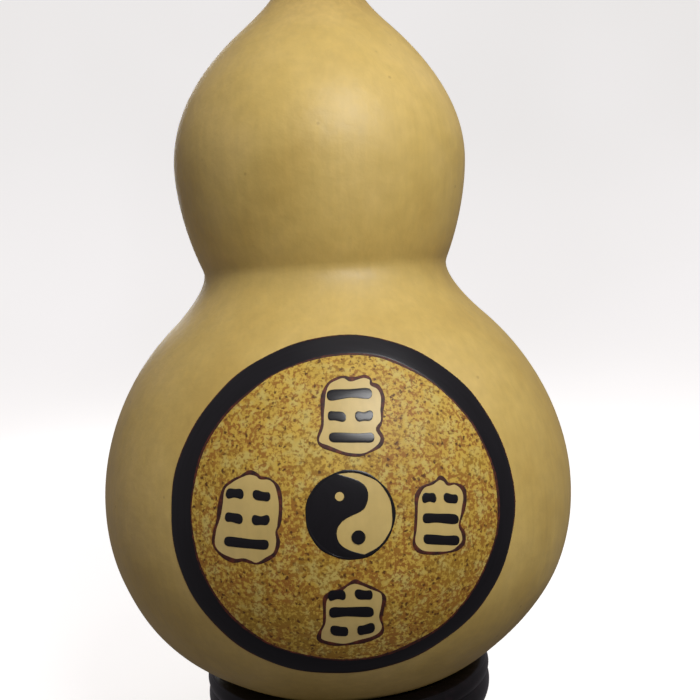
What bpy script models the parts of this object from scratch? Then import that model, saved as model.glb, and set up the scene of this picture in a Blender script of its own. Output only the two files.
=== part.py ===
"""A dried bottle gourd on a turned wooden stand.

Metres, +Z up. The origin is on the table, under the middle of the gourd's belly. The gourd is one grown
piece: a wide belly, a waist, an upper bulb and a neck that narrows into a woody, ribbed stem. It rests in the
dished top of a dark stand.
"""

import math

import bmesh
import bpy
import numpy as np

MM = 0.001

# The gourd, with heights measured from the table
BELLY_HEIGHT = 113.6 * MM
BELLY_RADIUS = 90.0 * MM
BELLY_RISE = 89.9 * MM
BELLY_DROP = 79.0 * MM
BELLY_FULLNESS = (1.93, 2.17)
BULB_HEIGHT = 239.6 * MM
BULB_RADIUS = 56.1 * MM
BULB_RISE = 72.5 * MM
BULB_DROP = 79.6 * MM
BULB_FULLNESS = (2.0, 1.73)
WAIST_SOFTNESS = 26.0 * MM
NECK_SPREAD = 36.0 * MM
NECK_TAPER = 1.5
NECK_SOFTNESS = 8.0 * MM
STEM_HEIGHT = 354.0 * MM
STEM_RADIUS = 6.0 * MM
STEM_END = 384.0 * MM
STEM_FLARE = 1.6 * MM
STEM_RIBS = 5
STEM_RIB_DEPTH = 0.13
STEM_CHAMFER = 0.8 * MM
SAG = 1.4 * MM
SAG_TOP = 86.0 * MM
SAG_LOWEST = 58.6 * MM
BEND_FROM = 262.0 * MM
BEND_TO = 345.0 * MM
BEND_RADIUS = 380.0 * MM
BEND_HEADING = math.radians(14)
FLATTENING = 0.012
GOURD_SIDES = 48

# The stand, with heights measured from the table
STAND_HEIGHT = 46.0 * MM
RIM_RADIUS = 55.9 * MM
RIM_CREST = 50.4 * MM
RIM_FALL = 1.6 * MM
SEAT_RADIUS = 48.2 * MM
SEAT_INNER = 36.0 * MM
SEAT_CLEARANCE = 0.45 * MM
DISH_CLEARANCE = 2.5 * MM
UPPER_BEAD = 5.4 * MM
LOWER_BEAD = 8.2 * MM
BEAD_BULGE = 0.9 * MM
SHOULDER_STEP = 1.6 * MM
FILLET = 1.0 * MM
WAIST_DEPTH = 5.5 * MM
FOOT_RADIUS = 57.5 * MM
FOOT_HEIGHT = 9.0 * MM
FOOT_ROUND = 3.0 * MM
SOLE_RADIUS = 40.0 * MM
SOLE_RECESS = 3.0 * MM
STAND_SIDES = 48

MERGE_DISTANCE = 0.05 * MM
SHARP_EDGE = math.radians(35)

GOURD_SKIN = (0.56, 0.40, 0.16)
STAND_WOOD = (0.020, 0.013, 0.014)


def smooth_step(value, start, end):
    """0 before start, 1 after end, and an S-shaped ramp between."""
    share = np.clip((value - start) / (end - start), 0, 1)
    return share * share * (3 - 2 * share)


def smooth_max(first, second, softness):
    """The larger of two radii, rounded over where they are nearly equal."""
    share = np.clip(0.5 + (first - second) / (2 * softness), 0, 1)
    return second + (first - second) * share + softness * share * (1 - share)


def swelling(height, middle, radius, rise, drop, fullness):
    """Radius of an egg-shaped swelling: one half of an oval above its middle and another below.

    Past its ends the radius is less than nothing, so that it doesn't blend with its neighbour there.
    A fullness under 2 makes a half more pointed, and over 2 blunter.
    """
    above = height > middle
    share = np.abs(height - middle) / np.where(above, rise, drop)
    inside = 1 - share ** np.where(above, *fullness)
    return radius * np.where(inside > 0, np.sqrt(np.clip(inside, 0, 1)), -1)


def skin_radius(height):
    """Radius of the gourd at a height.

    The belly and the bulb flow together in the waist. Above its middle the bulb narrows like a parabola, and
    flows into a neck that tapers to the stem.
    """
    belly = swelling(height, BELLY_HEIGHT, BELLY_RADIUS, BELLY_RISE, BELLY_DROP, BELLY_FULLNESS)
    bulb = swelling(height, BULB_HEIGHT, BULB_RADIUS, BULB_RISE, BULB_DROP, BULB_FULLNESS)
    body = smooth_max(belly, bulb, WAIST_SOFTNESS)
    climb = np.maximum(height - BULB_HEIGHT, 0)
    shoulder = BULB_RADIUS * (1 - (climb / BULB_RISE) ** BULB_FULLNESS[0])
    remaining = np.clip((STEM_HEIGHT - height) / (STEM_HEIGHT - BULB_HEIGHT), 0, 1)
    neck = STEM_RADIUS + NECK_SPREAD * remaining ** NECK_TAPER
    neck = neck + STEM_FLARE * smooth_step(height, STEM_END - 4 * STEM_RADIUS, STEM_END)
    outer = np.where(height > BULB_HEIGHT, smooth_max(shoulder, neck, NECK_SOFTNESS), body)
    return np.maximum(outer, 0)


def centre_line(height):
    """How far the gourd's middle lies off the upright axis.

    It sags to one side just above the seat, and an arc that starts in the bulb ends in a straight stem.
    """
    sag = SAG * (smooth_step(height, STAND_HEIGHT, SAG_LOWEST) - smooth_step(height, SAG_LOWEST, SAG_TOP))
    along = np.clip(height, BEND_FROM, BEND_TO) - BEND_FROM
    beyond = np.maximum(height - BEND_TO, 0)
    bend = along ** 2 / (2 * BEND_RADIUS) + beyond * along / BEND_RADIUS
    return bend * math.cos(BEND_HEADING) - sag, bend * math.sin(BEND_HEADING)


def gourd_sections():
    """Outline (radius, height) of the gourd from its stem down, with sections closer where it is slim."""
    bottom = BELLY_HEIGHT - BELLY_DROP
    quarter_turn = np.linspace(0, math.pi / 2, 400)
    underside = bottom + BELLY_DROP * (1 - np.cos(quarter_turn))
    fine = np.concatenate([underside, np.linspace(BELLY_HEIGHT, STEM_END, 1200)[1:]])
    radii = skin_radius(fine)
    length = np.hypot(np.diff(fine), np.diff(radii))
    spacing = np.clip(0.16 * radii[1:] + 2 * MM, 3 * MM, 13 * MM)
    travel = np.concatenate([[0], np.cumsum(length / spacing)])
    heights = np.interp(np.linspace(0, travel[-1], int(travel[-1]) + 1), travel, fine)
    heights[-1] = STEM_END - STEM_CHAMFER
    profile = [(0.0, STEM_END), (float(skin_radius(STEM_END)) - STEM_CHAMFER, STEM_END)]
    profile += [(float(skin_radius(height)), float(height)) for height in heights[:0:-1]]
    return profile + [(0.0, bottom)]


def arc(middle, radius, start, end, steps):
    """Points (radius, height) along an arc, from one angle to another in degrees."""
    turns = np.radians(np.linspace(start, end, steps + 1))
    return [(middle[0] + radius * math.cos(turn), middle[1] + radius * math.sin(turn)) for turn in turns]


def bead(top, height):
    """Points down the outside of a bead: a shallow bow between two edges on one radius."""
    shares = np.linspace(0, 1, 6)
    edge = RIM_RADIUS - BEAD_BULGE
    return [(edge + 4 * BEAD_BULGE * share * (1 - share), top - share * height) for share in shares]


def seat_height(radius, clearance):
    """Height of the dish under the gourd, a clearance below the gourd's skin measured across the gap."""
    root = 1 / BELLY_FULLNESS[1]
    share = 1 - (radius / BELLY_RADIUS) ** 2
    skin = BELLY_HEIGHT - BELLY_DROP * share ** root
    slope = 2 * root * BELLY_DROP * radius / BELLY_RADIUS ** 2 * share ** (root - 1)
    return skin - clearance * math.hypot(1, slope)


def waist_outline(top, bottom):
    """Points down the hollow side of the stand, from the step under its beads out to its foot."""
    upper = RIM_RADIUS - BEAD_BULGE - SHOULDER_STEP
    spread = FOOT_RADIUS - FOOT_ROUND - upper
    shares = np.linspace(0, 1, 10)
    radii = upper + spread * shares ** 3 - 4 * WAIST_DEPTH * shares * (1 - shares)
    return list(zip(radii, top + (bottom - top) * shares))


def stand_profile():
    """Outline of the stand from the middle of its dish, over the rim and down its side to the sole."""
    hollow = np.linspace(0, 0.92, 5) * SEAT_INNER
    seat = np.linspace(SEAT_INNER, SEAT_RADIUS, 4)
    dish = [(radius, seat_height(radius, DISH_CLEARANCE)) for radius in hollow]
    dish += [(radius, seat_height(radius, SEAT_CLEARANCE)) for radius in seat]
    turns = np.radians(np.linspace(0, 90, 5))
    reach = RIM_RADIUS - BEAD_BULGE - RIM_CREST
    rim = list(zip(RIM_CREST + reach * np.sin(turns), STAND_HEIGHT - RIM_FALL * (1 - np.cos(turns))))
    bead_top = STAND_HEIGHT - RIM_FALL
    beads = bead(bead_top, UPPER_BEAD)[1:] + bead(bead_top - UPPER_BEAD, LOWER_BEAD)[1:]
    shoulder = bead_top - UPPER_BEAD - LOWER_BEAD
    waist = waist_outline(shoulder - FILLET, FOOT_HEIGHT + FILLET)
    foot = arc((FOOT_RADIUS - FOOT_ROUND, FOOT_HEIGHT - FOOT_ROUND), FOOT_ROUND, 90, 0, 4)
    sole = [
        (FOOT_RADIUS, FILLET),
        (FOOT_RADIUS - FILLET, 0.0),
        (SOLE_RADIUS, 0.0),
        (SOLE_RADIUS - FILLET, SOLE_RECESS),
        (0.0, SOLE_RECESS),
    ]
    return dish + rim + beads + waist + foot + sole


def turned(name, profile, sides):
    """A solid turned from its outline (radius, height), which runs from the axis at the top to the bottom."""
    mesh = bpy.data.meshes.new(name)
    points = [(radius, 0.0, height) for radius, height in profile]
    mesh.from_pydata(points, [(index, index + 1) for index in range(len(points) - 1)], [])
    piece = bpy.data.objects.new(name, mesh)
    bpy.context.scene.collection.objects.link(piece)
    screw = piece.modifiers.new("turning", "SCREW")
    screw.steps = sides
    screw.render_steps = sides
    screw.use_merge_vertices = True
    screw.merge_threshold = MERGE_DISTANCE
    bpy.context.view_layer.update()
    solid = bpy.data.meshes.new_from_object(piece.evaluated_get(bpy.context.evaluated_depsgraph_get()))
    piece.modifiers.clear()
    piece.data = solid
    bpy.data.meshes.remove(mesh)
    solid.name = name
    return piece


def grow(piece):
    """Gives the turned gourd its natural unevenness.

    It is bent along its centre line and pressed slightly flat from front to back, and its stem gets its ribs.
    """
    mesh = piece.data
    places = np.empty(len(mesh.vertices) * 3)
    mesh.vertices.foreach_get("co", places)
    x, y, height = places.reshape(-1, 3).T
    ribbed = smooth_step(height, STEM_HEIGHT - 5 * STEM_RADIUS, STEM_HEIGHT)
    rib = 1 + STEM_RIB_DEPTH * ribbed * np.cos(STEM_RIBS * np.arctan2(y, x))
    free = smooth_step(height, STAND_HEIGHT, STAND_HEIGHT + BELLY_DROP / 2)
    side, back = centre_line(height)
    places = np.column_stack([x * rib + side, y * rib * (1 - FLATTENING * free) + back, height])
    mesh.vertices.foreach_set("co", places.ravel())
    mesh.update()


def triangulated(piece):
    """Splits every face into triangles, so that the solid is the same however it is read."""
    mesh = bmesh.new()
    mesh.from_mesh(piece.data)
    bmesh.ops.triangulate(mesh, faces=mesh.faces)
    mesh.to_mesh(piece.data)
    mesh.free()
    piece.data.shade_smooth()
    piece.data.set_sharp_from_angle(angle=SHARP_EDGE)


def material(name, colour, roughness):
    """A plain dielectric finish."""
    finish = bpy.data.materials.new(name)
    finish.use_nodes = True
    shader = finish.node_tree.nodes["Principled BSDF"]
    shader.inputs["Base Color"].default_value = (*colour, 1.0)
    shader.inputs["Roughness"].default_value = roughness
    shader.inputs["Metallic"].default_value = 0.0
    return finish


def main():
    for old in list(bpy.data.objects):
        bpy.data.objects.remove(old)
    parts = bpy.data.collections.new("bottle_gourd_on_stand")
    bpy.context.scene.collection.children.link(parts)

    gourd = turned("gourd", gourd_sections(), GOURD_SIDES)
    grow(gourd)
    gourd.data.materials.append(material("dried_gourd_skin", GOURD_SKIN, 0.42))

    stand = turned("stand", stand_profile(), STAND_SIDES)
    stand.data.materials.append(material("dark_stained_wood", STAND_WOOD, 0.38))

    for piece in (gourd, stand):
        triangulated(piece)
        bpy.context.scene.collection.objects.unlink(piece)
        parts.objects.link(piece)


main()
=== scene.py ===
"""The looks of a dried bottle gourd on its stand.

The gourd's skin and the stand are finer surfaces of the same shapes as the solids that they replace. The
design on the belly is laid over the skin as coats of lacquer and burned lines a fraction of a millimetre
thick. It is drawn in millimetres on a flat sheet square to the line of sight, and carried from there to the
skin.
"""

import math

import bmesh
import bpy
import numpy as np
from mathutils import Matrix, Vector


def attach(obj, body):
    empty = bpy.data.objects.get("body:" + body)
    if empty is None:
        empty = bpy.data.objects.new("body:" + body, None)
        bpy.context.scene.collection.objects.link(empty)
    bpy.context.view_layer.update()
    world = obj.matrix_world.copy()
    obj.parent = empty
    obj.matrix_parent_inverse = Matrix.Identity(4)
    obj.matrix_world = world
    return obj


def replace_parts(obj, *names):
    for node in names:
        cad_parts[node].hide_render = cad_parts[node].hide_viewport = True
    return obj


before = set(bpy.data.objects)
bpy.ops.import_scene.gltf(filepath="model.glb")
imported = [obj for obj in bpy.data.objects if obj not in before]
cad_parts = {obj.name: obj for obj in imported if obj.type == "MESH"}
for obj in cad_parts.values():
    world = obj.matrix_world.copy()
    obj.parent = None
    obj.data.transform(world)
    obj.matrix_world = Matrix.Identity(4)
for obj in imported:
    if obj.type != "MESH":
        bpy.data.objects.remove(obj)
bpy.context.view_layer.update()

MM = 0.001

# The gourd, with heights measured from the table
BELLY_HEIGHT = 113.6 * MM
BELLY_RADIUS = 90.0 * MM
BELLY_RISE = 89.9 * MM
BELLY_DROP = 79.0 * MM
BELLY_FULLNESS = (1.93, 2.17)
BULB_HEIGHT = 239.6 * MM
BULB_RADIUS = 56.1 * MM
BULB_RISE = 72.5 * MM
BULB_DROP = 79.6 * MM
BULB_FULLNESS = (2.0, 1.73)
WAIST_SOFTNESS = 26.0 * MM
# Middle height of the band of painted shade in the waist's crease
WAIST_SHADE_HEIGHT = 198.0 * MM
NECK_SPREAD = 36.0 * MM
NECK_TAPER = 1.5
NECK_SOFTNESS = 8.0 * MM
STEM_HEIGHT = 354.0 * MM
STEM_RADIUS = 6.0 * MM
STEM_END = 384.0 * MM
STEM_FLARE = 1.6 * MM
STEM_RIBS = 5
STEM_RIB_DEPTH = 0.13
STEM_CHAMFER = 0.8 * MM
PITH_RADIUS = 2.2 * MM
PITH_DEPTH = 2.4 * MM
CUT_DISH = 0.5 * MM
SAG = 1.4 * MM
SAG_TOP = 86.0 * MM
SAG_LOWEST = 58.6 * MM
BEND_FROM = 262.0 * MM
BEND_TO = 345.0 * MM
BEND_RADIUS = 380.0 * MM
BEND_HEADING = math.radians(14)
FLATTENING = 0.012

# Long waves over the fruit: swings round it, height to climb through a radian, share and starting angle
UNEVENNESS = 0.22 * MM
WAVES = ((3, 38 * MM, 1.0, 0.0), (5, -26 * MM, 0.7, 1.0), (8, 17 * MM, 0.4, 2.0))

# Fibres along the stem
FIBRE_DEPTH = 0.16 * MM
FIBRES = 23
FIBRE_WANDER = 9 * MM
FIBRE_TWIST = 5 * MM

# Rows and columns of the gourd's surface
SKIN_ROWS = 310
SKIN_COLUMNS = 288
FINE_STEPS = 500
SLIM_SPACING = 0.45
CHAMFER_ROWS = 4
CUT_ROWS = 14

# The stand, with heights measured from the table
STAND_HEIGHT = 46.0 * MM
RIM_RADIUS = 55.9 * MM
RIM_CREST = 50.4 * MM
RIM_FALL = 1.6 * MM
SEAT_RADIUS = 48.2 * MM
SEAT_INNER = 36.0 * MM
SEAT_CLEARANCE = 0.45 * MM
DISH_CLEARANCE = 2.5 * MM
DISH_SHARE = 0.92
UPPER_BEAD = 5.4 * MM
LOWER_BEAD = 8.2 * MM
BEAD_BULGE = 0.9 * MM
SHOULDER_STEP = 1.6 * MM
FILLET = 1.0 * MM
WAIST_DEPTH = 5.5 * MM
FOOT_RADIUS = 57.5 * MM
FOOT_HEIGHT = 9.0 * MM
FOOT_ROUND = 3.0 * MM
SOLE_RADIUS = 40.0 * MM
SOLE_RECESS = 3.0 * MM
STAND_COLUMNS = 240
STRETCH_POINTS = 25

# The camera, which also carries the design from its sheet to the skin
EYE = Vector((7.6 * MM, -392.7 * MM, 195.2 * MM))
LOOKS_DOWN = math.atan(0.072)
LEANS = math.radians(-3.2)
FRAME_WIDTH = 36.0
FOCAL_LENGTH = FRAME_WIDTH / 0.7
NEAREST_SEEN = 10 * MM
SHEET_DISTANCE = 300 * MM
FRONT_PLANE = -1.1 * BELLY_RADIUS
HALVINGS = 36
SLOPE_STEP = 0.2 * MM

# The design, in millimetres on the sheet, from the middle of the ring. An edge of the ring is its mean
# radius, then the cosine and sine of the waves that swing once, twice and more often round it.
RING_MIDDLE = (-2.55, -46.65)
RING_OUTER = (50.93, (0.26, -0.06), (0.42, 0.67), (0.13, -0.41), (-0.05, -0.13))
RING_INNER = (46.14, (0.85, -0.87), (0.15, 0.44), (0.03, -0.28), (0.03, -0.08), (0.22, 0.18))
RING_POINTS = 720
HAND_TREMOR = 0.09
DISC_MIDDLE = (2.6, -2.8)
DISC_RADIUS = 13.1
DISC_CURVE = [
    (-4.1, 12.45), (-1.8, 11.7), (0.9, 10.9), (3.0, 9.9), (4.7, 8.4), (5.4, 6.3), (5.1, 3.8), (4.1, 1.7),
    (2.0, 0.4), (-0.2, -0.6), (-2.2, -1.9), (-3.5, -3.5), (-4.0, -5.3), (-3.8, -7.1), (-2.9, -8.8),
    (-1.0, -10.2), (1.3, -11.1), (3.7, -11.7), (5.4, -11.95),
]
DISC_POINTS = 240
CURVE_POINTS = 400
DROP_POINTS = 160
PALE_EYE = (-3.2, 5.5, 1.35)
DARK_EYE = (2.5, -6.7, 2.1)
LINE_WIDTH = 1.0
LINE_WAVER = 0.28
BAR_WIDTH = 3.0
BAR_GAP = 0.2
BAR_BOW = 0.12
BAR_BLUNTNESS = 2.6
BAR_ROWS = 49
SOLID, BROKEN = True, False
PLAQUE_POINTS = 240
PLAQUES = {
    "upper": {
        "middle": (2.7, 26.8),
        "outline": [
            (-0.2, 11.1), (1.6, 11.3), (4.2, 11.9), (5.9, 11.1), (6.3, 9.7), (8.4, 8.6), (9.7, 5.6),
            (9.4, 1.5), (9.3, -1.6), (8.2, -3.9), (9.5, -6.5), (8.7, -8.8), (5.5, -10.8), (2.5, -11.7),
            (-1.5, -11.3), (-6.2, -9.7), (-9.1, -8.4), (-9.7, -6.5), (-8.5, -2.8), (-8.4, 2.0), (-8.1, 6.4),
            (-6.6, 9.7), (-4.0, 11.3), (-2.0, 11.7),
        ],
        "bars": (SOLID, BROKEN, SOLID),
        "bar_length": 13.6,
        "bar_step": 6.4,
        "lean": 3.0,
    },
    "left": {
        "middle": (-28.2, -4.0),
        "outline": [
            (0.6, 13.9), (2.7, 13.3), (4.0, 12.3), (6.4, 12.0), (8.7, 10.1), (9.8, 6.4), (9.9, 1.8),
            (9.4, -2.0), (8.7, -3.9), (9.2, -7.0), (8.2, -10.4), (5.5, -12.3), (2.9, -13.4), (0.8, -12.9),
            (-1.3, -12.3), (-4.1, -12.5), (-7.7, -10.8), (-10.0, -7.9), (-9.9, -4.0), (-8.7, 0.3),
            (-8.0, 5.0), (-7.0, 9.2), (-4.5, 11.4), (-2.0, 12.7),
        ],
        "bars": (BROKEN, BROKEN, SOLID),
        "bar_length": 13.4,
        "bar_step": 7.2,
        "lean": -2.0,
    },
    "right": {
        "middle": (29.7, -4.0),
        "outline": [
            (-0.1, 12.3), (1.2, 11.6), (2.3, 10.4), (4.5, 10.5), (6.7, 9.1), (7.3, 6.3), (6.7, 2.3),
            (5.7, -1.7), (6.8, -4.2), (6.8, -7.0), (4.6, -9.2), (1.4, -10.1), (-2.6, -10.3), (-6.2, -9.7),
            (-7.9, -7.4), (-7.6, -3.4), (-7.3, 1.5), (-7.1, 6.6), (-5.4, 9.4), (-2.6, 10.6), (-1.2, 11.5),
        ],
        "bars": (BROKEN, SOLID, SOLID),
        "bar_length": 10.8,
        "bar_step": 6.2,
        "lean": 2.0,
    },
    "lower": {
        "middle": (3.0, -32.0),
        "outline": [
            (1.0, 9.2), (2.9, 8.6), (6.1, 7.3), (8.9, 5.9), (9.8, 4.0), (9.3, 1.2), (8.8, -1.7),
            (9.4, -4.4), (8.6, -6.5), (5.4, -8.1), (1.2, -9.1), (-3.0, -9.7), (-7.0, -9.2), (-9.6, -8.1),
            (-9.4, -5.9), (-8.2, -3.2), (-8.1, 0.5), (-7.9, 4.0), (-6.0, 5.9), (-3.2, 6.8), (-1.1, 8.2),
        ],
        "bars": (BROKEN, SOLID, BROKEN),
        "bar_length": 13.4,
        "bar_step": 5.2,
        "lean": 4.0,
    },
}

# Coats over the skin, and how deep each one's underside lies in it
GROUND_COAT = 0.05 * MM
PANEL_COAT = 0.09 * MM
BURN_COAT = 0.14 * MM
LACQUER_COAT = 0.26 * MM
DOT_COAT = 0.34 * MM
DOME_SHARE = 0.35
ROOT = 0.35 * MM
TIP_WIDTH = 0.6 * MM
MERGE_DISTANCE = 0.0005 * MM
SHARP_EDGE = math.radians(38)

# Sizes of the patterns in the finishes. Along the grain the coordinates are multiplied by the stretch, which
# draws a pattern out.
CLOUD_SIZE = 46 * MM
MOTTLE_SIZE = 5.5 * MM
SKIN_FIBRE_WIDTH = 2.2 * MM
SKIN_FIBRE_STRETCH = 0.06
SPECK_SPACING = 13 * MM
# Band of painted shade in the waist: full darkening out to the first distance from its middle, none past the
# second
WAIST_SHADE_FROM = 1 * MM
WAIST_SHADE_TO = 11 * MM
# The stem's brown starts low on the neck; on the neck's upper part it is partly painted shade
NECK_SHADE_AND_WOODY_FROM = STEM_HEIGHT - 82 * MM
WOODY_FULL = STEM_HEIGHT - 2 * MM
SPARED_SIZE = 4.5 * MM
BLOT_SIZE = 1.15 * MM
DENSE_BELOW = 70 * MM
THIN_ABOVE = 165 * MM
TINT_SIZE = 11 * MM
PRICK_SPACING = 2.1 * MM
PRICK_WANDER = 1.8 * MM
WANDER_SIZE = 1.1 * MM
SCORCH_SIZE = 1.8 * MM
BRISTLE_WIDTH = 0.7 * MM
BRISTLE_STRETCH = 0.05
GRAIN_WIDTH = 2.4 * MM
GRAIN_STRETCH = 0.07
WASH_SIZE = 0.5

# The studio, in metres. A light has its turn to the right and its climb, in degrees, then its distance, its
# size and its power in watts.
COVE_FLOOR = 0.95
COVE_CURVE = 0.45
COVE_HEIGHT = 2.4
COVE_ROWS = 33
COVE_COLUMNS = 128
COVE_GLOW = 0.7
LIGHTS = {
    "window_softbox": (25, 37, 0.62, 0.30, 2.5),
    "ceiling_softbox": (35, 72, 1.0, 0.8, 0.4),
    "room_softbox": (188, 14, 3.4, 2.2, 46.0),
}
ROOM_BELOW = 0.09
ROOM_ABOVE = 0.38


def smooth_step(value, start, end):
    """0 before start, 1 after end, and an S-shaped ramp between."""
    share = np.clip((value - start) / (end - start), 0, 1)
    return share * share * (3 - 2 * share)


def smooth_max(first, second, softness):
    """The larger of two radii, rounded over where they are nearly equal."""
    share = np.clip(0.5 + (first - second) / (2 * softness), 0, 1)
    return second + (first - second) * share + softness * share * (1 - share)


def swelling(height, middle, radius, rise, drop, fullness):
    """Radius of an egg-shaped swelling: one half of an oval above its middle and another below.

    Past its ends the radius is less than nothing, so that it doesn't blend with its neighbour there.
    """
    above = height > middle
    share = np.abs(height - middle) / np.where(above, rise, drop)
    inside = 1 - share ** np.where(above, *fullness)
    return radius * np.where(inside > 0, np.sqrt(np.clip(inside, 0, 1)), -1)


def skin_radius(height):
    """Radius of the gourd at a height.

    The belly and the bulb flow together in the waist. Above its middle the bulb narrows like a parabola, and
    flows into a neck that tapers to the stem.
    """
    belly = swelling(height, BELLY_HEIGHT, BELLY_RADIUS, BELLY_RISE, BELLY_DROP, BELLY_FULLNESS)
    bulb = swelling(height, BULB_HEIGHT, BULB_RADIUS, BULB_RISE, BULB_DROP, BULB_FULLNESS)
    body = smooth_max(belly, bulb, WAIST_SOFTNESS)
    climb = np.maximum(height - BULB_HEIGHT, 0)
    shoulder = BULB_RADIUS * (1 - (climb / BULB_RISE) ** BULB_FULLNESS[0])
    remaining = np.clip((STEM_HEIGHT - height) / (STEM_HEIGHT - BULB_HEIGHT), 0, 1)
    neck = STEM_RADIUS + NECK_SPREAD * remaining ** NECK_TAPER
    neck = neck + STEM_FLARE * smooth_step(height, STEM_END - 4 * STEM_RADIUS, STEM_END)
    outer = np.where(height > BULB_HEIGHT, smooth_max(shoulder, neck, NECK_SOFTNESS), body)
    return np.maximum(outer, 0)


def centre_line(height):
    """How far the gourd's middle lies off the upright axis.

    It sags to one side just above the seat, and an arc that starts in the bulb ends in a straight stem.
    """
    sag = SAG * (smooth_step(height, STAND_HEIGHT, SAG_LOWEST) - smooth_step(height, SAG_LOWEST, SAG_TOP))
    along = np.clip(height, BEND_FROM, BEND_TO) - BEND_FROM
    beyond = np.maximum(height - BEND_TO, 0)
    bend = along ** 2 / (2 * BEND_RADIUS) + beyond * along / BEND_RADIUS
    return bend * math.cos(BEND_HEADING) - sag, bend * math.sin(BEND_HEADING)


def depth_share(height):
    """How deep the gourd is from front to back, as a share of its width."""
    return 1 - FLATTENING * smooth_step(height, STAND_HEIGHT, STAND_HEIGHT + BELLY_DROP / 2)


def skin_reach(turn, height, radius):
    """Distance of the skin from the middle line, in the direction of a turn round it.

    The radius, with a few long waves of a fraction of a millimetre over the fruit, and five ribs and many
    fine fibres where it turns into the woody stem.
    """
    fruit = smooth_step(radius, 0, BULB_RADIUS / 2)
    waves = sum(
        share * np.sin(swings * turn + height / rise + start)
        for swings, rise, share, start in WAVES
    )
    ribbed = smooth_step(height, STEM_HEIGHT - 5 * STEM_RADIUS, STEM_HEIGHT)
    rib = 1 + STEM_RIB_DEPTH * ribbed * np.cos(STEM_RIBS * turn)
    strands = np.sin(FIBRES * turn + 3 * np.sin(height / FIBRE_WANDER))
    strands = strands + 0.6 * np.sin(2 * FIBRES * turn + height / FIBRE_TWIST)
    fibres = FIBRE_DEPTH * ribbed * np.minimum(radius / STEM_RADIUS, 1) * strands
    return radius * rib + UNEVENNESS * fruit * waves + fibres


def skin_places(turn, height, radius):
    """Points on the skin: reach and turn round the middle line, pressed slightly flat from front to back."""
    reach = skin_reach(turn, height, radius)
    side, back = centre_line(height)
    x = side + reach * np.cos(turn)
    y = back + reach * np.sin(turn) * depth_share(height)
    return np.stack([x, y, np.broadcast_to(height, x.shape)], -1)


def clearance(places):
    """How far points lie outside the skin, measured level from the middle line."""
    x, y, height = np.moveaxis(places, -1, 0)
    side, back = centre_line(height)
    x = x - side
    y = (y - back) / depth_share(height)
    return np.hypot(x, y) - skin_reach(np.arctan2(y, x), height, skin_radius(height))


def camera_place():
    """The camera's matrix: level, then tipped down, then leaned about its own line of sight."""
    level = Matrix.Rotation(math.pi / 2 - LOOKS_DOWN, 4, "X")
    return Matrix.Translation(EYE) @ level @ Matrix.Rotation(LEANS, 4, "Z")


def laid(points, lift):
    """Points of the design (on the sheet, in metres from the ring's middle) carried to the skin.

    Each one follows the straight line from the eye through the sheet. The crossing with the skin is found by
    halving the stretch between a plane just in front of the gourd and the one through its middle. The point
    is then lifted along the skin's normal, which is the direction in which the clearance grows fastest.
    """
    right, upward, behind = (np.array(camera_place().col[axis][:3]) for axis in range(3))
    sheet = points + np.array(RING_MIDDLE) * MM
    rays = -behind * SHEET_DISTANCE + sheet[..., :1] * right + sheet[..., 1:] * upward
    eye = np.array(EYE)
    near = (FRONT_PLANE - eye[1]) / rays[..., 1:2]
    far = -eye[1] / rays[..., 1:2]
    for _ in range(HALVINGS):
        middle = (near + far) / 2
        outside = clearance(eye + rays * middle)[..., None] > 0
        near = np.where(outside, middle, near)
        far = np.where(outside, far, middle)
    places = eye + rays * far
    steps = np.eye(3) * SLOPE_STEP
    normal = np.stack([clearance(places + step) - clearance(places - step) for step in steps], -1)
    normal /= np.linalg.norm(normal, axis=-1, keepdims=True)
    return places + normal * lift[..., None]


def piece(name, grid, finish, rows_close=False, **attributes):
    """A mesh through a grid of points (rows, columns, xyz), with four-sided faces between neighbours.

    The last column joins the first, and the last row may join the first too. Points that fall together, as
    at a pole or a tip, become one, and the faces are turned outwards. An attribute is a grid of numbers, one
    for each point.
    """
    rows, columns = grid.shape[:2]
    corners = np.arange(rows * columns).reshape(rows, columns)
    if rows_close:
        corners = np.vstack([corners, corners[:1]])
    corners = np.hstack([corners, corners[:, :1]])
    faces = np.stack([corners[:-1, :-1], corners[:-1, 1:], corners[1:, 1:], corners[1:, :-1]], -1)
    mesh = bpy.data.meshes.new(name)
    mesh.from_pydata(grid.reshape(-1, 3), [], faces.reshape(-1, 4))
    for title, values in attributes.items():
        layer = mesh.attributes.new(title, "FLOAT", "POINT")
        layer.data.foreach_set("value", np.broadcast_to(values, (rows, columns)).astype(np.float32).ravel())
    merged = bmesh.new()
    merged.from_mesh(mesh)
    bmesh.ops.remove_doubles(merged, verts=merged.verts, dist=MERGE_DISTANCE)
    bmesh.ops.recalc_face_normals(merged, faces=merged.faces)
    merged.to_mesh(mesh)
    merged.free()
    mesh.shade_smooth()
    mesh.set_sharp_from_angle(angle=SHARP_EDGE)
    mesh.materials.append(finish)
    made = bpy.data.objects.new(name, mesh)
    bpy.context.scene.collection.objects.link(made)
    return made


def turns(count):
    """Angles at even distances once round, the first of them at 0."""
    return np.linspace(0, 2 * math.pi, count, endpoint=False)


def turned(radii, heights, columns):
    """Points of an outline (a column of radii and one of heights) turned round the upright axis."""
    turn = turns(columns)
    return np.stack(np.broadcast_arrays(radii * np.cos(turn), radii * np.sin(turn), heights), -1)


def on_circle(turn, radius):
    """Points on the sheet at a turn and a radius from its middle."""
    return np.column_stack([radius * np.cos(turn), radius * np.sin(turn)])


def travelled(path):
    """How far along a line of points each of them lies."""
    return np.concatenate([[0], np.cumsum(np.linalg.norm(np.diff(path, axis=0), axis=1))])


def evenly(path, count):
    """A line of points, drawn again with a number of points at even distances along it."""
    travel = travelled(path)
    places = np.linspace(0, travel[-1], count)
    return np.column_stack([np.interp(places, travel, values) for values in path.T])


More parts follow.
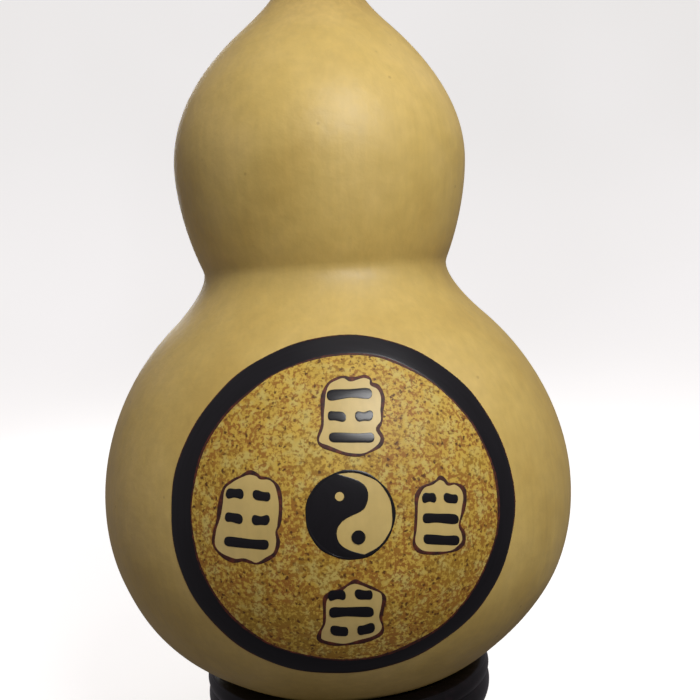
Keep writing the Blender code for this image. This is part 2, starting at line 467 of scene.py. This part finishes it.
def smooth_curve(points, count, closed):
    """A smooth curve through listed points, given in millimetres, as points in metres.

    Between two points it is the cubic that leaves each of them along the line through its two neighbours.
    """
    points = np.array(points) * MM
    if closed:
        around = np.vstack([points[-1:], points, points[:2]])
    else:
        around = np.vstack([2 * points[0] - points[1], points, 2 * points[-1] - points[-2]])
    spans = len(around) - 3
    travel = np.linspace(0, spans, count, endpoint=not closed)
    span = np.minimum(travel.astype(int), spans - 1)
    share = (travel - span)[:, None]
    before, start, end, after = (around[span + shift] for shift in range(4))
    bow = 2 * before - 5 * start + 4 * end - after
    twist = 3 * start - before - 3 * end + after
    return (2 * start + (end - before) * share + bow * share ** 2 + twist * share ** 3) / 2


def sideways(path):
    """Unit vectors square to a closed line on the sheet, to its left."""
    ahead = np.roll(path, -1, 0) - np.roll(path, 1, 0)
    ahead = ahead / np.linalg.norm(ahead, axis=1, keepdims=True)
    return np.column_stack([-ahead[:, 1], ahead[:, 0]])


def drawn_circle(turn, mean, *waves):
    """A circle drawn by hand: a mean radius with a few waves of cosine and sine, and a fine tremor."""
    radius = mean + HAND_TREMOR * (np.sin(9 * turn + mean) + 0.7 * np.sin(17 * turn + 2 * mean))
    for swings, (level, upright) in enumerate(waves, 1):
        radius = radius + level * np.cos(swings * turn) + upright * np.sin(swings * turn)
    return on_circle(turn, radius) * MM


def coat(name, outline, thickness, finish, rings):
    """An even coat inside a closed outline.

    Rings shrink from the outline to its middle in even steps. They lie at the coat's thickness over the skin
    on top, and at the root's depth in it below, and the two sheets meet in a wall along the outline.
    """
    shares = np.linspace(0, 1, rings + 1)
    shares = np.concatenate([shares, shares[::-1]])
    lift = np.where(np.arange(len(shares)) <= rings, thickness, -ROOT)
    middle = outline.mean(0)
    points = middle + shares[:, None, None] * (outline - middle)
    lifts = np.broadcast_to(lift[:, None], points.shape[:2])
    return piece(name, laid(points, lifts), finish)


def band(name, left, right, thickness, finish, closed, columns=6):
    """A brushed or burned stretch between two lines that run side by side.

    Straight rungs join the lines. Over them the coat is domed like the upper part of an ellipse, and under
    them its underside lies at the root's depth. Where an open band is narrower than its tip it sinks into
    the skin. Its points know how far along and across the band they lie.
    """
    top = (1 - np.cos(np.linspace(0, math.pi, columns + 1))) / 2
    across = np.concatenate([top, top[::-1]])
    dome = thickness * (1 - DOME_SHARE + DOME_SHARE * np.sqrt(4 * top * (1 - top)))
    lift = np.concatenate([dome, np.full(columns + 1, -ROOT)])
    width = np.linalg.norm(right - left, axis=1)[:, None]
    rise = np.ones(width.shape) if closed else np.clip(width / TIP_WIDTH, 0, 1)
    points = left[:, None] + across[:, None] * (right - left)[:, None]
    lifts = -ROOT + (lift + ROOT) * rise
    along = travelled(left)[:, None]
    return piece(name, laid(points, lifts), finish, rows_close=closed, along=along, across=width * across)


def line(name, path, width, thickness, finish):
    """A line drawn round a closed path: a band of a width, with a slow waver in it."""
    turn = turns(len(path))
    swell = 1 + LINE_WAVER * (np.sin(5 * turn + width) + 0.6 * np.sin(11 * turn + 1.3))
    half = sideways(path) * (width * MM / 2 * swell)[:, None]
    return band(name, path + half, path - half, thickness, finish, closed=True)


def stroke(name, start, end, finish, seed):
    """One pull of a full brush: a nearly straight band with round ends, swelling a little where it starts.

    The half width follows a blunt oval along the stroke, times a slow wave, and the path bows slightly.
    """
    share = (1 - np.cos(np.linspace(0, math.pi, BAR_ROWS))) / 2
    length = np.linalg.norm(end - start)
    side = np.array([start[1] - end[1], end[0] - start[0]]) / length
    bow = BAR_BOW * BAR_WIDTH * np.sin(math.pi * share + seed)
    path = start + share[:, None] * (end - start) + bow[:, None] * side
    blunt = (1 - np.abs(2 * share - 1) ** (BAR_BLUNTNESS * length / BAR_WIDTH)) ** 0.5
    wave = 1 + 0.08 * np.cos(2 * math.pi * share) + 0.05 * np.sin(9 * share + 2 * seed)
    half = (BAR_WIDTH / 2 * blunt * wave)[:, None] * side
    return band(name, (path + half) * MM, (path - half) * MM, LACQUER_COAT, finish, closed=False)


def colour(code):
    """An sRGB hex colour as linear light, by the sRGB curve: a straight toe, then a power of 2.4."""
    values = [int(code[place:place + 2], 16) / 255 for place in (1, 3, 5)]
    light = [value / 12.92 if value <= 0.04045 else ((value + 0.055) / 1.055) ** 2.4 for value in values]
    return (*light, 1.0)


def add(tree, kind, inputs, stops=(), **settings):
    """Adds a node to a material.

    Settings go on the node, and each input takes a number or another node's output. Stops are a colour
    ramp's positions and colours, the two outer ones first.
    """
    node = tree.nodes.new("ShaderNode" + kind)
    for title, value in settings.items():
        setattr(node, title, value)
    for socket, value in inputs.items():
        if isinstance(value, bpy.types.NodeSocket):
            tree.links.new(value, node.inputs[socket])
        else:
            node.inputs[socket].default_value = value
    for index, (place, shade) in enumerate(stops):
        ramp = node.color_ramp.elements
        stop = ramp[index] if index < 2 else ramp.new(place)
        stop.position = place
        stop.color = colour(shade)
    return node


def new_finish(name, roughness, ior):
    """An empty dielectric finish, with its node tree, its shader and the piece's own coordinates."""
    finish = bpy.data.materials.new(name)
    finish.use_nodes = True
    tree = finish.node_tree
    shader = tree.nodes["Principled BSDF"]
    shader.inputs["Roughness"].default_value = roughness
    shader.inputs["IOR"].default_value = ior
    places = add(tree, "TexCoord", {}).outputs["Object"]
    return finish, tree, shader, places


def skin_colours(tree, places, pale, middle, deep):
    """Colour of a dried gourd's skin in soft clouds, and the patterns of its fibres and of its mottle."""
    clouds = add(
        tree, "TexNoise",
        {"Vector": places, "Scale": 1 / CLOUD_SIZE, "Detail": 4.0, "Roughness": 0.55},
    ).outputs["Fac"]
    patches = add(tree, "ValToRGB", {"Fac": clouds}, stops=((0.30, deep), (0.72, pale), (0.5, middle)))
    upright = add(tree, "Mapping", {"Vector": places, "Scale": (1.0, 1.0, SKIN_FIBRE_STRETCH)})
    fibres = add(
        tree, "TexNoise",
        {"Vector": upright.outputs["Vector"], "Scale": 1 / SKIN_FIBRE_WIDTH, "Detail": 3.0},
    ).outputs["Fac"]
    streaks = add(
        tree, "MapRange",
        {"Value": fibres, "From Min": 0.3, "From Max": 0.7, "To Min": 0.965, "To Max": 1.03},
    ).outputs["Result"]
    mottle = add(
        tree, "TexNoise",
        {"Vector": places, "Scale": 1 / MOTTLE_SIZE, "Detail": 3.0, "Roughness": 0.6},
    ).outputs["Fac"]
    blotches = add(
        tree, "MapRange",
        {"Value": mottle, "From Min": 0.3, "From Max": 0.7, "To Min": 0.95, "To Max": 1.04},
    ).outputs["Result"]
    both = add(tree, "Math", {0: streaks, 1: blotches}, operation="MULTIPLY")
    grained = add(
        tree, "Mix",
        {0: 1.0, 6: patches.outputs["Color"], 7: both.outputs["Value"]},
        data_type="RGBA", blend_type="MULTIPLY",
    )
    return grained.outputs[2], fibres, mottle


def calabash_skin():
    """Dried, scraped and polished calabash: a thin woody shell with a satin glow.

    To the eye it is honey straw in soft clouds, with faint upright fibres, low bumps and a few specks. A
    band of painted shade darkens it a little in the waist's crease. It turns into dull brown fibres along
    the stem, and the brown reaches far down the neck, partly as painted shade on the neck's upper part.
    """
    finish, tree, shader, places = new_finish("polished_calabash_skin", 0.5, 1.58)
    fruit, fibres, mottle = skin_colours(tree, places, "#dabc70", "#d0b261", "#c4a453")
    height = add(tree, "SeparateXYZ", {"Vector": places}).outputs["Z"]
    specks = add(tree, "TexVoronoi", {"Vector": places, "Scale": 1 / SPECK_SPACING}).outputs["Distance"]
    dots = add(
        tree, "MapRange",
        {"Value": specks, "From Min": 0.035, "From Max": 0.06, "To Min": 0.32, "To Max": 0.0},
    )
    specked = add(tree, "Mix", {0: dots.outputs["Result"], 6: fruit, 7: colour("#8d6b35")}, data_type="RGBA")
    # Painted shade: the skin colour is darkened by up to 11 per cent in a narrow band round the waist's
    # crease
    offset = add(tree, "Math", {0: height, 1: WAIST_SHADE_HEIGHT}, operation="SUBTRACT")
    away = add(tree, "Math", {0: offset.outputs["Value"]}, operation="ABSOLUTE").outputs["Value"]
    painted_waist_shade = add(
        tree, "MapRange",
        {"Value": away, "From Min": WAIST_SHADE_FROM, "From Max": WAIST_SHADE_TO, "To Min": 0.89, "To Max": 1.0},
        interpolation_type="SMOOTHSTEP",
    )
    waist_shaded = add(
        tree, "Mix",
        {0: 1.0, 6: specked.outputs[2], 7: painted_waist_shade.outputs["Result"]},
        data_type="RGBA", blend_type="MULTIPLY",
    )
    # Blend to the stem's dull brown fibres. It reaches far down the neck, where its darkening is partly
    # painted shade
    woody_and_neck_shade = add(
        tree, "MapRange",
        {"Value": height, "From Min": NECK_SHADE_AND_WOODY_FROM, "From Max": WOODY_FULL, "To Min": 0.0, "To Max": 1.0},
        interpolation_type="SMOOTHSTEP",
    ).outputs["Result"]
    strands = add(
        tree, "ValToRGB", {"Fac": fibres},
        stops=((0.28, "#6b4a26"), (0.72, "#b08a4f"), (0.5, "#8f6a38")),
    )
    body = add(tree, "Mix", {0: woody_and_neck_shade, 6: waist_shaded.outputs[2], 7: strands.outputs["Color"]}, data_type="RGBA")
    tree.links.new(body.outputs[2], shader.inputs["Base Color"])
    satin = add(
        tree, "MapRange",
        {"Value": mottle, "From Min": 0.3, "From Max": 0.7, "To Min": 0.46, "To Max": 0.54},
    )
    dull = add(tree, "Mix", {0: woody_and_neck_shade, 2: satin.outputs["Result"], 3: 0.72}, data_type="FLOAT")
    tree.links.new(dull.outputs[0], shader.inputs["Roughness"])
    uneven = add(tree, "Mix", {0: woody_and_neck_shade, 2: mottle, 3: fibres}, data_type="FLOAT")
    relief = add(tree, "Bump", {"Height": uneven.outputs[0], "Strength": 0.7, "Distance": 0.3 * MM})
    tree.links.new(relief.outputs["Normal"], shader.inputs["Normal"])
    return finish


def stippled_ground():
    """Calabash skin stippled with a hot point: golden, closely freckled in ochre and brown, and duller.

    The freckles are ragged blots of about 1 mm, closer together low down, with darker dots among them. Here
    and there the point spared a paler, slightly green patch of a few millimetres, where dots are fainter.
    """
    finish, tree, shader, places = new_finish("stippled_calabash", 0.55, 1.4)
    skin, _, _ = skin_colours(tree, places, "#d6b450", "#caa845", "#c09c3c")
    patches = add(
        tree, "TexNoise",
        {"Vector": places, "Scale": 1 / SPARED_SIZE, "Detail": 2.0},
    ).outputs["Fac"]
    spared = add(
        tree, "MapRange",
        {"Value": patches, "From Min": 0.5, "From Max": 0.66, "To Min": 0.0, "To Max": 0.5},
    )
    golden = add(tree, "Mix", {0: spared.outputs["Result"], 6: skin, 7: colour("#ccc073")}, data_type="RGBA")
    blots = add(
        tree, "TexNoise",
        {"Vector": places, "Scale": 1 / BLOT_SIZE, "Detail": 3.0, "Roughness": 0.6},
    ).outputs["Fac"]
    crowding = add(tree, "Math", {0: patches, 1: -0.25, 2: blots}, operation="MULTIPLY_ADD")
    height = add(tree, "SeparateXYZ", {"Vector": places}).outputs["Z"]
    low = add(
        tree, "MapRange",
        {"Value": height, "From Min": DENSE_BELOW, "From Max": THIN_ABOVE, "To Min": 0.07, "To Max": -0.016},
    )
    crowded = add(
        tree, "Math",
        {0: crowding.outputs["Value"], 1: low.outputs["Result"]},
        operation="ADD",
    ).outputs["Value"]
    freckles = add(
        tree, "MapRange",
        {"Value": crowded, "From Min": 0.345, "From Max": 0.455, "To Min": 0.0, "To Max": 0.8},
    )
    tint = add(tree, "TexNoise", {"Vector": places, "Scale": 1 / TINT_SIZE, "Detail": 2.0}).outputs["Fac"]
    browns = add(
        tree, "ValToRGB", {"Fac": tint},
        stops=((0.35, "#8f661b"), (0.65, "#8a4c1a"), (0.5, "#90591a")),
    )
    freckled = add(
        tree, "Mix",
        {0: freckles.outputs["Result"], 6: golden.outputs[2], 7: browns.outputs["Color"]},
        data_type="RGBA",
    )
    wander = add(
        tree, "TexNoise",
        {"Vector": places, "Scale": 1 / WANDER_SIZE, "Detail": 1.0},
    ).outputs["Color"]
    scattered = add(
        tree, "VectorMath",
        {0: wander, 1: (PRICK_WANDER,) * 3, 2: places},
        operation="MULTIPLY_ADD",
    ).outputs["Vector"]
    pricks = add(tree, "TexVoronoi", {"Vector": scattered, "Scale": 1 / PRICK_SPACING}).outputs["Distance"]
    strength = add(
        tree, "MapRange",
        {"Value": patches, "From Min": 0.45, "From Max": 0.62, "To Min": 0.95, "To Max": 0.5},
    ).outputs["Result"]
    dark = add(
        tree, "MapRange",
        {"Value": pricks, "From Min": 0.16, "From Max": 0.33, "To Min": strength, "To Max": 0.0},
    )
    pricked = add(
        tree, "Mix",
        {0: dark.outputs["Result"], 6: freckled.outputs[2], 7: colour("#563210")},
        data_type="RGBA",
    )
    tree.links.new(pricked.outputs[2], shader.inputs["Base Color"])
    relief = add(tree, "Bump", {"Height": blots, "Strength": 0.25, "Distance": 0.15 * MM})
    tree.links.new(relief.outputs["Normal"], shader.inputs["Normal"])
    return finish


def bare_panel():
    """Calabash skin left bare inside the design: a little paler than the stippled ground round it."""
    finish, tree, shader, places = new_finish("bare_calabash", 0.42, 1.5)
    skin, _, _ = skin_colours(tree, places, "#d8c07e", "#cfb570", "#c6ab64")
    tree.links.new(skin, shader.inputs["Base Color"])
    return finish


def burned_line():
    """Lines burned in with a hot tip: dark red brown, matt, and broken up by the tip's uneven heat."""
    finish, tree, shader, places = new_finish("burned_calabash", 0.62, 1.5)
    heat = add(tree, "TexNoise", {"Vector": places, "Scale": 1 / SCORCH_SIZE, "Detail": 2.0}).outputs["Fac"]
    scorch = add(
        tree, "ValToRGB", {"Fac": heat},
        stops=((0.3, "#260d06"), (0.72, "#64290f"), (0.5, "#401709")),
    )
    tree.links.new(scorch.outputs["Color"], shader.inputs["Base Color"])
    return finish


def black_lacquer():
    """Brushed black lacquer: nearly black with a cold tinge, glossy, with faint ridges along the strokes."""
    finish, tree, shader, _ = new_finish("brushed_black_lacquer", 0.28, 1.5)
    along = add(tree, "Attribute", {}, attribute_name="along").outputs["Fac"]
    across = add(tree, "Attribute", {}, attribute_name="across").outputs["Fac"]
    pulled = add(tree, "CombineXYZ", {"X": along, "Y": across}).outputs["Vector"]
    stretched = add(tree, "Mapping", {"Vector": pulled, "Scale": (BRISTLE_STRETCH, 1.0, 1.0)})
    bristles = add(
        tree, "TexNoise",
        {"Vector": stretched.outputs["Vector"], "Scale": 1 / BRISTLE_WIDTH, "Detail": 2.0},
    ).outputs["Fac"]
    shade = add(tree, "ValToRGB", {"Fac": bristles}, stops=((0.3, "#040306"), (0.7, "#0d0b10")))
    tree.links.new(shade.outputs["Color"], shader.inputs["Base Color"])
    relief = add(tree, "Bump", {"Height": bristles, "Strength": 0.2, "Distance": 0.08 * MM})
    tree.links.new(relief.outputs["Normal"], shader.inputs["Normal"])
    return finish


def ebonised_wood():
    """Close-grained turned wood, stained nearly black and waxed, its grain in faint dark brown lines."""
    finish, tree, shader, places = new_finish("ebonised_turned_wood", 0.3, 1.33)
    drawn = add(tree, "Mapping", {"Vector": places, "Scale": (GRAIN_STRETCH, 1.0, 1.0)}).outputs["Vector"]
    grain = add(
        tree, "TexNoise",
        {"Vector": drawn, "Scale": 1 / GRAIN_WIDTH, "Detail": 4.0, "Distortion": 0.4},
    ).outputs["Fac"]
    stain = add(
        tree, "ValToRGB", {"Fac": grain},
        stops=((0.32, "#060406"), (0.75, "#1a1013"), (0.52, "#0b0709")),
    )
    tree.links.new(stain.outputs["Color"], shader.inputs["Base Color"])
    relief = add(tree, "Bump", {"Height": grain, "Strength": 0.15, "Distance": 0.1 * MM})
    tree.links.new(relief.outputs["Normal"], shader.inputs["Normal"])
    return finish


def pale_paint():
    """Rolled matt wall paint: nearly white, washed unevenly, and glowing a little so that it stays pale."""
    finish, tree, shader, places = new_finish("pale_matt_paint", 0.9, 1.45)
    wash = add(tree, "TexNoise", {"Vector": places, "Scale": 1 / WASH_SIZE}).outputs["Fac"]
    pale = add(tree, "ValToRGB", {"Fac": wash}, stops=((0.3, "#ecebe8"), (0.7, "#f1f0ee"))).outputs["Color"]
    tree.links.new(pale, shader.inputs["Base Color"])
    tree.links.new(pale, shader.inputs["Emission Color"])
    shader.inputs["Emission Strength"].default_value = COVE_GLOW
    return finish


def gourd(finish):
    """The gourd's skin, from its bottom up to the cut end of the stem, which is dished round a pith hole.

    Rows follow the outline at even distances, closer along the slim stem, and columns go round it.
    """
    underside = BELLY_HEIGHT - BELLY_DROP * np.cos(np.linspace(0, math.pi / 2, FINE_STEPS))
    upper = np.linspace(BELLY_HEIGHT, STEM_END - STEM_CHAMFER, 3 * FINE_STEPS)
    fine = np.concatenate([underside, upper[1:]])
    radii = skin_radius(fine)
    spacing = np.clip(radii[1:] / BULB_RADIUS, SLIM_SPACING, 1)
    travel = np.concatenate([[0], np.cumsum(np.hypot(np.diff(fine), np.diff(radii)) / spacing)])
    heights = np.interp(np.linspace(0, travel[-1], SKIN_ROWS), travel, fine)
    radii = skin_radius(heights)
    end = radii[-1]
    quarter = np.linspace(0, math.pi / 2, CHAMFER_ROWS + 1)[1:]
    chamfer = end - STEM_CHAMFER * (1 - np.cos(quarter)), heights[-1] + STEM_CHAMFER * np.sin(quarter)
    inward = np.linspace(end - 1.4 * STEM_CHAMFER, 0, CUT_ROWS)
    dish = CUT_DISH * smooth_step(inward, end, PITH_RADIUS)
    pith = PITH_DEPTH * smooth_step(inward, PITH_RADIUS, PITH_RADIUS / 2)
    radii = np.concatenate([radii, chamfer[0], inward])[:, None]
    heights = np.concatenate([heights, chamfer[1], STEM_END - dish - pith])[:, None]
    made = piece("gourd_skin", skin_places(turns(SKIN_COLUMNS) + math.pi / 2, heights, radii), finish)
    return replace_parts(made, "gourd")


def seat_height(radius, gap):
    """Height of the dish under the gourd, a gap below the gourd's skin measured across the gap."""
    root = 1 / BELLY_FULLNESS[1]
    share = 1 - (radius / BELLY_RADIUS) ** 2
    skin = BELLY_HEIGHT - BELLY_DROP * share ** root
    slope = 2 * root * BELLY_DROP * radius / BELLY_RADIUS ** 2 * share ** (root - 1)
    return skin - gap * np.hypot(1, slope)


def stand(finish):
    """The stand, turned from its outline: dish, rounded rim, two shallow beads, hollow side, foot and sole.

    A bead is a shallow parabola between two edges. The hollow side is a parabola too, with a cube that
    carries it out to the foot. The rim, the foot and its lower edge are rounded with arcs.
    """
    share = np.linspace(0, 1, STRETCH_POINTS)
    quarter = share * math.pi / 2
    edge = RIM_RADIUS - BEAD_BULGE
    bow = edge + 4 * BEAD_BULGE * share * (1 - share)
    bead_top = STAND_HEIGHT - RIM_FALL
    shoulder = bead_top - UPPER_BEAD - LOWER_BEAD
    under = edge - SHOULDER_STEP
    spread = FOOT_RADIUS - FOOT_ROUND - under
    waist_top, waist_bottom = shoulder - FILLET, FOOT_HEIGHT + FILLET
    hollow = share * DISH_SHARE * SEAT_INNER
    seat = SEAT_INNER + share * (SEAT_RADIUS - SEAT_INNER)
    stretches = [
        (hollow, seat_height(hollow, DISH_CLEARANCE)),
        (seat, seat_height(seat, SEAT_CLEARANCE)),
        (RIM_CREST + (edge - RIM_CREST) * np.sin(quarter), STAND_HEIGHT - RIM_FALL * (1 - np.cos(quarter))),
        (bow, bead_top - share * UPPER_BEAD),
        (bow, bead_top - UPPER_BEAD - share * LOWER_BEAD),
        (
            under + spread * share ** 3 - 4 * WAIST_DEPTH * share * (1 - share),
            waist_top + (waist_bottom - waist_top) * share,
        ),
        (
            FOOT_RADIUS - FOOT_ROUND * (1 - np.sin(quarter)),
            FOOT_HEIGHT - FOOT_ROUND * (1 - np.cos(quarter)),
        ),
        (FOOT_RADIUS - FILLET * (1 - np.cos(quarter)), FILLET * (1 - np.sin(quarter))),
        (np.array([SOLE_RADIUS, SOLE_RADIUS - FILLET, 0]), np.array([0, SOLE_RECESS, SOLE_RECESS])),
    ]
    radii, heights = (np.concatenate(values)[:, None] for values in zip(*stretches))
    made = piece("stand_turned", turned(radii, heights, STAND_COLUMNS), finish)
    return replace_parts(made, "stand")


def ring(lacquer, burned, ground):
    """The lacquer ring round the design, the scorched lines along its edges and the ground inside it."""
    turn = turns(RING_POINTS)
    outer, inner = drawn_circle(turn, *RING_OUTER), drawn_circle(turn, *RING_INNER)
    return [
        coat("stippled_ground", (outer + inner) / 2, GROUND_COAT, ground, rings=46),
        band("ring_lacquer", outer, inner, LACQUER_COAT, lacquer, closed=True, columns=10),
        line("ring_scorch_inner", inner, LINE_WIDTH, BURN_COAT, burned),
        line("ring_scorch_outer", outer, 0.5 * LINE_WIDTH, BURN_COAT, burned),
    ]


def disc(lacquer, bare):
    """The two-colour disc: a bare round, a lacquered drop over one half, an eye in each half, an outline.

    The drop lies between an arc of the disc's edge and the wavy line through its middle, which meet in its
    tips.
    """
    middle = np.array(DISC_MIDDLE) * MM
    turn = turns(DISC_POINTS)
    edge = middle + on_circle(turn, DISC_RADIUS) * MM
    wave = evenly(smooth_curve(DISC_CURVE, CURVE_POINTS, closed=False), DROP_POINTS)
    head, tail = (math.atan2(wave[place, 1], wave[place, 0]) for place in (0, -1))
    arc = on_circle(np.linspace(head, tail + 2 * math.pi, DROP_POINTS), DISC_RADIUS) * MM
    arc[0], arc[-1] = wave[0], wave[-1]
    made = [
        coat("disc_bare", edge, PANEL_COAT, bare, rings=14),
        band("disc_drop", middle + wave, middle + arc, LACQUER_COAT, lacquer, closed=False, columns=16),
        line("disc_outline", edge, 0.8 * LINE_WIDTH, LACQUER_COAT, lacquer),
    ]
    for name, spot, finish in (("disc_pale_eye", PALE_EYE, bare), ("disc_dark_eye", DARK_EYE, lacquer)):
        across, up, radius = spot
        eye = middle + (np.array([across, up]) + on_circle(turn, radius)) * MM
        made.append(coat(name, eye, DOT_COAT, finish, rings=5))
    return made


def plaque(side, lacquer, burned, bare):
    """One small plaque: a bare panel, its burned outline and a figure of three brushed bars.

    A bar is solid, or broken by a gap in its middle.
    """
    facts = PLAQUES[side]
    middle = np.array(facts["middle"])
    outline = middle * MM + smooth_curve(facts["outline"], PLAQUE_POINTS, closed=True)
    made = [
        coat(f"plaque_{side}_panel", outline, PANEL_COAT, bare, rings=10),
        line(f"plaque_{side}_outline", outline, LINE_WIDTH, BURN_COAT, burned),
    ]
    lean = math.radians(facts["lean"])
    along = np.array([math.cos(lean), math.sin(lean)])
    down = np.array([math.sin(lean), -math.cos(lean)])
    reach = facts["bar_length"] / 2
    gap = BAR_GAP * reach
    for row, whole in enumerate(facts["bars"]):
        centre = middle + down * facts["bar_step"] * (row - 1)
        stretches = [(-reach, reach)] if whole else [(-reach, -gap), (gap, reach)]
        for part, (start, end) in enumerate(stretches):
            name = f"plaque_{side}_bar_{row + 1}_{part + 1}"
            ends = centre + along * start, centre + along * end
            made.append(stroke(name, *ends, lacquer, row + 2.3 * part))
    return made


def place_camera():
    """The camera at the photograph's place."""
    camera = bpy.data.objects.new("camera", bpy.data.cameras.new("camera"))
    camera.data.sensor_width = FRAME_WIDTH
    camera.data.lens = FOCAL_LENGTH
    camera.data.clip_start = NEAREST_SEEN
    camera.matrix_world = camera_place()
    bpy.context.scene.collection.objects.link(camera)
    bpy.context.scene.camera = camera


def place_cove(finish):
    """A plain pale room turned about the gourd: a flat floor that curves up in an arc into an upright wall.

    It only stands behind the gourd: it neither lights it nor shows in its gloss.
    """
    quarter = np.linspace(0, math.pi / 2, COVE_ROWS)
    wall = COVE_FLOOR + COVE_CURVE
    radii = np.concatenate([[0], COVE_FLOOR + COVE_CURVE * np.sin(quarter), [wall]])[:, None]
    heights = np.concatenate([[0], COVE_CURVE * (1 - np.cos(quarter)), [COVE_HEIGHT]])[:, None]
    cove = piece("cove", turned(radii, heights, COVE_COLUMNS), finish)
    cove.visible_diffuse = False
    cove.visible_glossy = False
    cove.visible_shadow = False


def place_lights():
    """Round soft lights that face the upper belly, each from its own turn, climb and distance."""
    aim = Vector((0, 0, BELLY_HEIGHT + BELLY_RISE / 2))
    for name, (across, up, distance, size, power) in LIGHTS.items():
        lamp = bpy.data.objects.new(name, bpy.data.lights.new(name, "AREA"))
        lamp.data.shape = "DISK"
        lamp.data.size = size
        lamp.data.energy = power
        turn, climb = math.radians(across), math.radians(up)
        level = math.cos(climb)
        reach = Vector((math.sin(turn) * level, -math.cos(turn) * level, math.sin(climb)))
        lamp.location = aim + reach * distance
        lamp.visible_camera = False
        lamp.rotation_mode = "QUATERNION"
        lamp.rotation_quaternion = reach.to_track_quat("Z", "Y")
        bpy.context.scene.collection.objects.link(lamp)


def dim_room():
    """Faint, very slightly violet light from all round, weaker from below than from above."""
    world = bpy.data.worlds.new("dim_room")
    world.use_nodes = True
    tree = world.node_tree
    direction = add(tree, "TexCoord", {}).outputs["Generated"]
    height = add(tree, "SeparateXYZ", {"Vector": direction}).outputs["Z"]
    dusk = add(
        tree, "MapRange",
        {"Value": height, "From Min": -1.0, "From Max": 1.0, "To Min": ROOM_BELOW, "To Max": ROOM_ABOVE},
    )
    tree.links.new(dusk.outputs["Result"], tree.nodes["Background"].inputs["Strength"])
    tree.nodes["Background"].inputs["Color"].default_value = colour("#f1e9f2")
    bpy.context.scene.world = world


def main():
    place_camera()
    place_cove(pale_paint())
    place_lights()
    dim_room()
    bpy.context.scene.view_settings.view_transform = "Standard"
    skin, ground, bare = calabash_skin(), stippled_ground(), bare_panel()
    burned, lacquer = burned_line(), black_lacquer()
    pieces = [gourd(skin), stand(ebonised_wood())]
    pieces += ring(lacquer, burned, ground)
    pieces += disc(lacquer, bare)
    for side in PLAQUES:
        pieces += plaque(side, lacquer, burned, bare)
    for made in pieces:
        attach(made, "root")


main()
